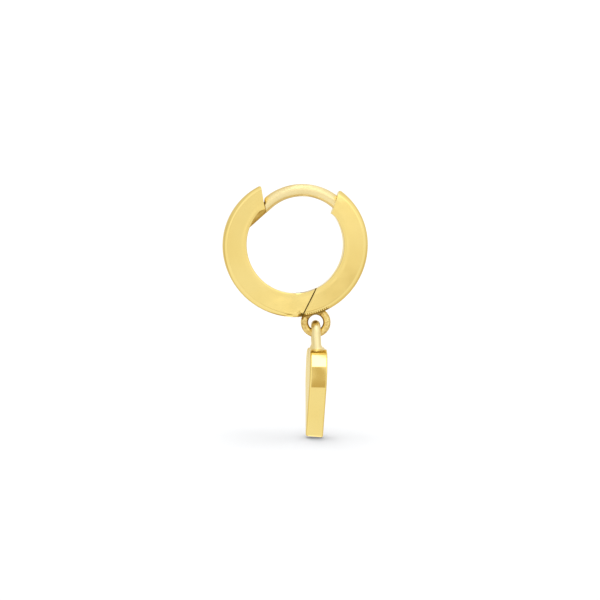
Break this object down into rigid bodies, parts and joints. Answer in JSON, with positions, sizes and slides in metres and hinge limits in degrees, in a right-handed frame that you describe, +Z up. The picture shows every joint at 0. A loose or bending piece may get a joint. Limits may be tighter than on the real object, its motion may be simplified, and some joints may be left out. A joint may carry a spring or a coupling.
{
  "type": "hinged hoop earring with heart charm",
  "caption": "Hinged hoop earring with a round wire post, flat sides and rounded outer edges, and a flat heart charm hanging from a soldered eyelet.",
  "frame": {"origin": "middle of the ear post's wire at its crown, where the earring hangs from the ear", "axes": "+Z up, +X from the front half towards the back half in the hoop's plane, Y along the hoop's axis"},
  "size_m": [0.012, 0.0078, 0.0211],
  "materials": {
    "hoop_gold": "polished yellow gold",
    "post_gold": "polished yellow gold wire",
    "charm_gold": "polished yellow gold"
  },
  "bodies": {
    "back": {"back_half": "hoop_gold", "ear_post": "post_gold", "hinge_pin": "post_gold"},
    "front": {"front_half": "hoop_gold"},
    "charm": {"heart_charm": "charm_gold"}
  },
  "joints": [
    {"name": "front_hinge", "type": "hinge", "parent": "back", "child": "front", "pos_m": [-0.00049, 0, -0.01002], "axis": [0, -1, 0], "range_deg": [0, 70]},
    {"name": "charm_swing", "type": "hinge", "parent": "back", "child": "charm", "pos_m": [0.00112, 0, -0.01101], "axis": [0, -1, 0], "range_deg": [-45, 45]}
  ]
}
